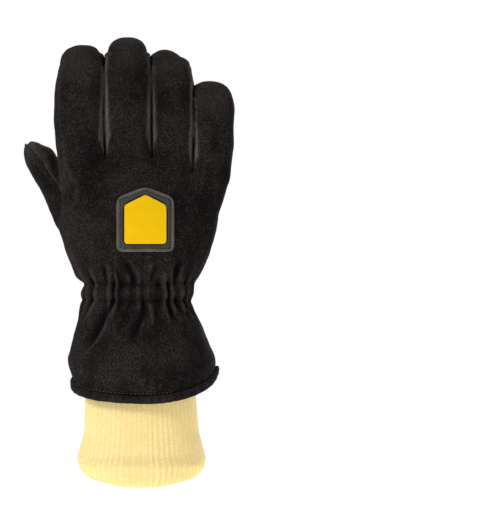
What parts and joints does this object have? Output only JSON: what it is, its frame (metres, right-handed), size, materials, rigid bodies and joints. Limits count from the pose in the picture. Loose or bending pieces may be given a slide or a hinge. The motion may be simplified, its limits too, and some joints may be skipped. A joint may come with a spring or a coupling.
{
  "type": "firefighter glove",
  "caption": "Structural firefighting glove for the right hand: split-leather shell with a gathered wrist, a flared cuff and a ribbed knitted wrist.",
  "frame": {"origin": "centre of the knitted wrist's mouth, where the hand goes in", "axes": "+Z from the mouth to the fingertips, -Y out of the back of the glove, +Y out of the palm, -X to the thumb's side"},
  "size_m": [0.1602, 0.082, 0.3405],
  "materials": {
    "suede": "black suede",
    "palm_leather": "black suede",
    "strip_leather": "grey suede",
    "patch_leather": "grey leather",
    "badge_yellow": "plain yellow",
    "knit": "ribbed knit"
  },
  "bodies": {
    "root": {"back_panel": "suede", "cuff_back": "suede", "palm_panel": "palm_leather", "thumb_front": "palm_leather", "thumb_heel": "suede", "cuff_thumb_side": "suede", "index_side_strip": "suede", "strip_index_middle": "strip_leather", "strip_middle_ring": "strip_leather", "strip_ring_little": "strip_leather", "cuff_hem": "suede", "knit_wrist": "knit", "pulse_guard": "palm_leather", "badge_border": "patch_leather", "badge_field": "badge_yellow"}
  },
  "joints": []
}
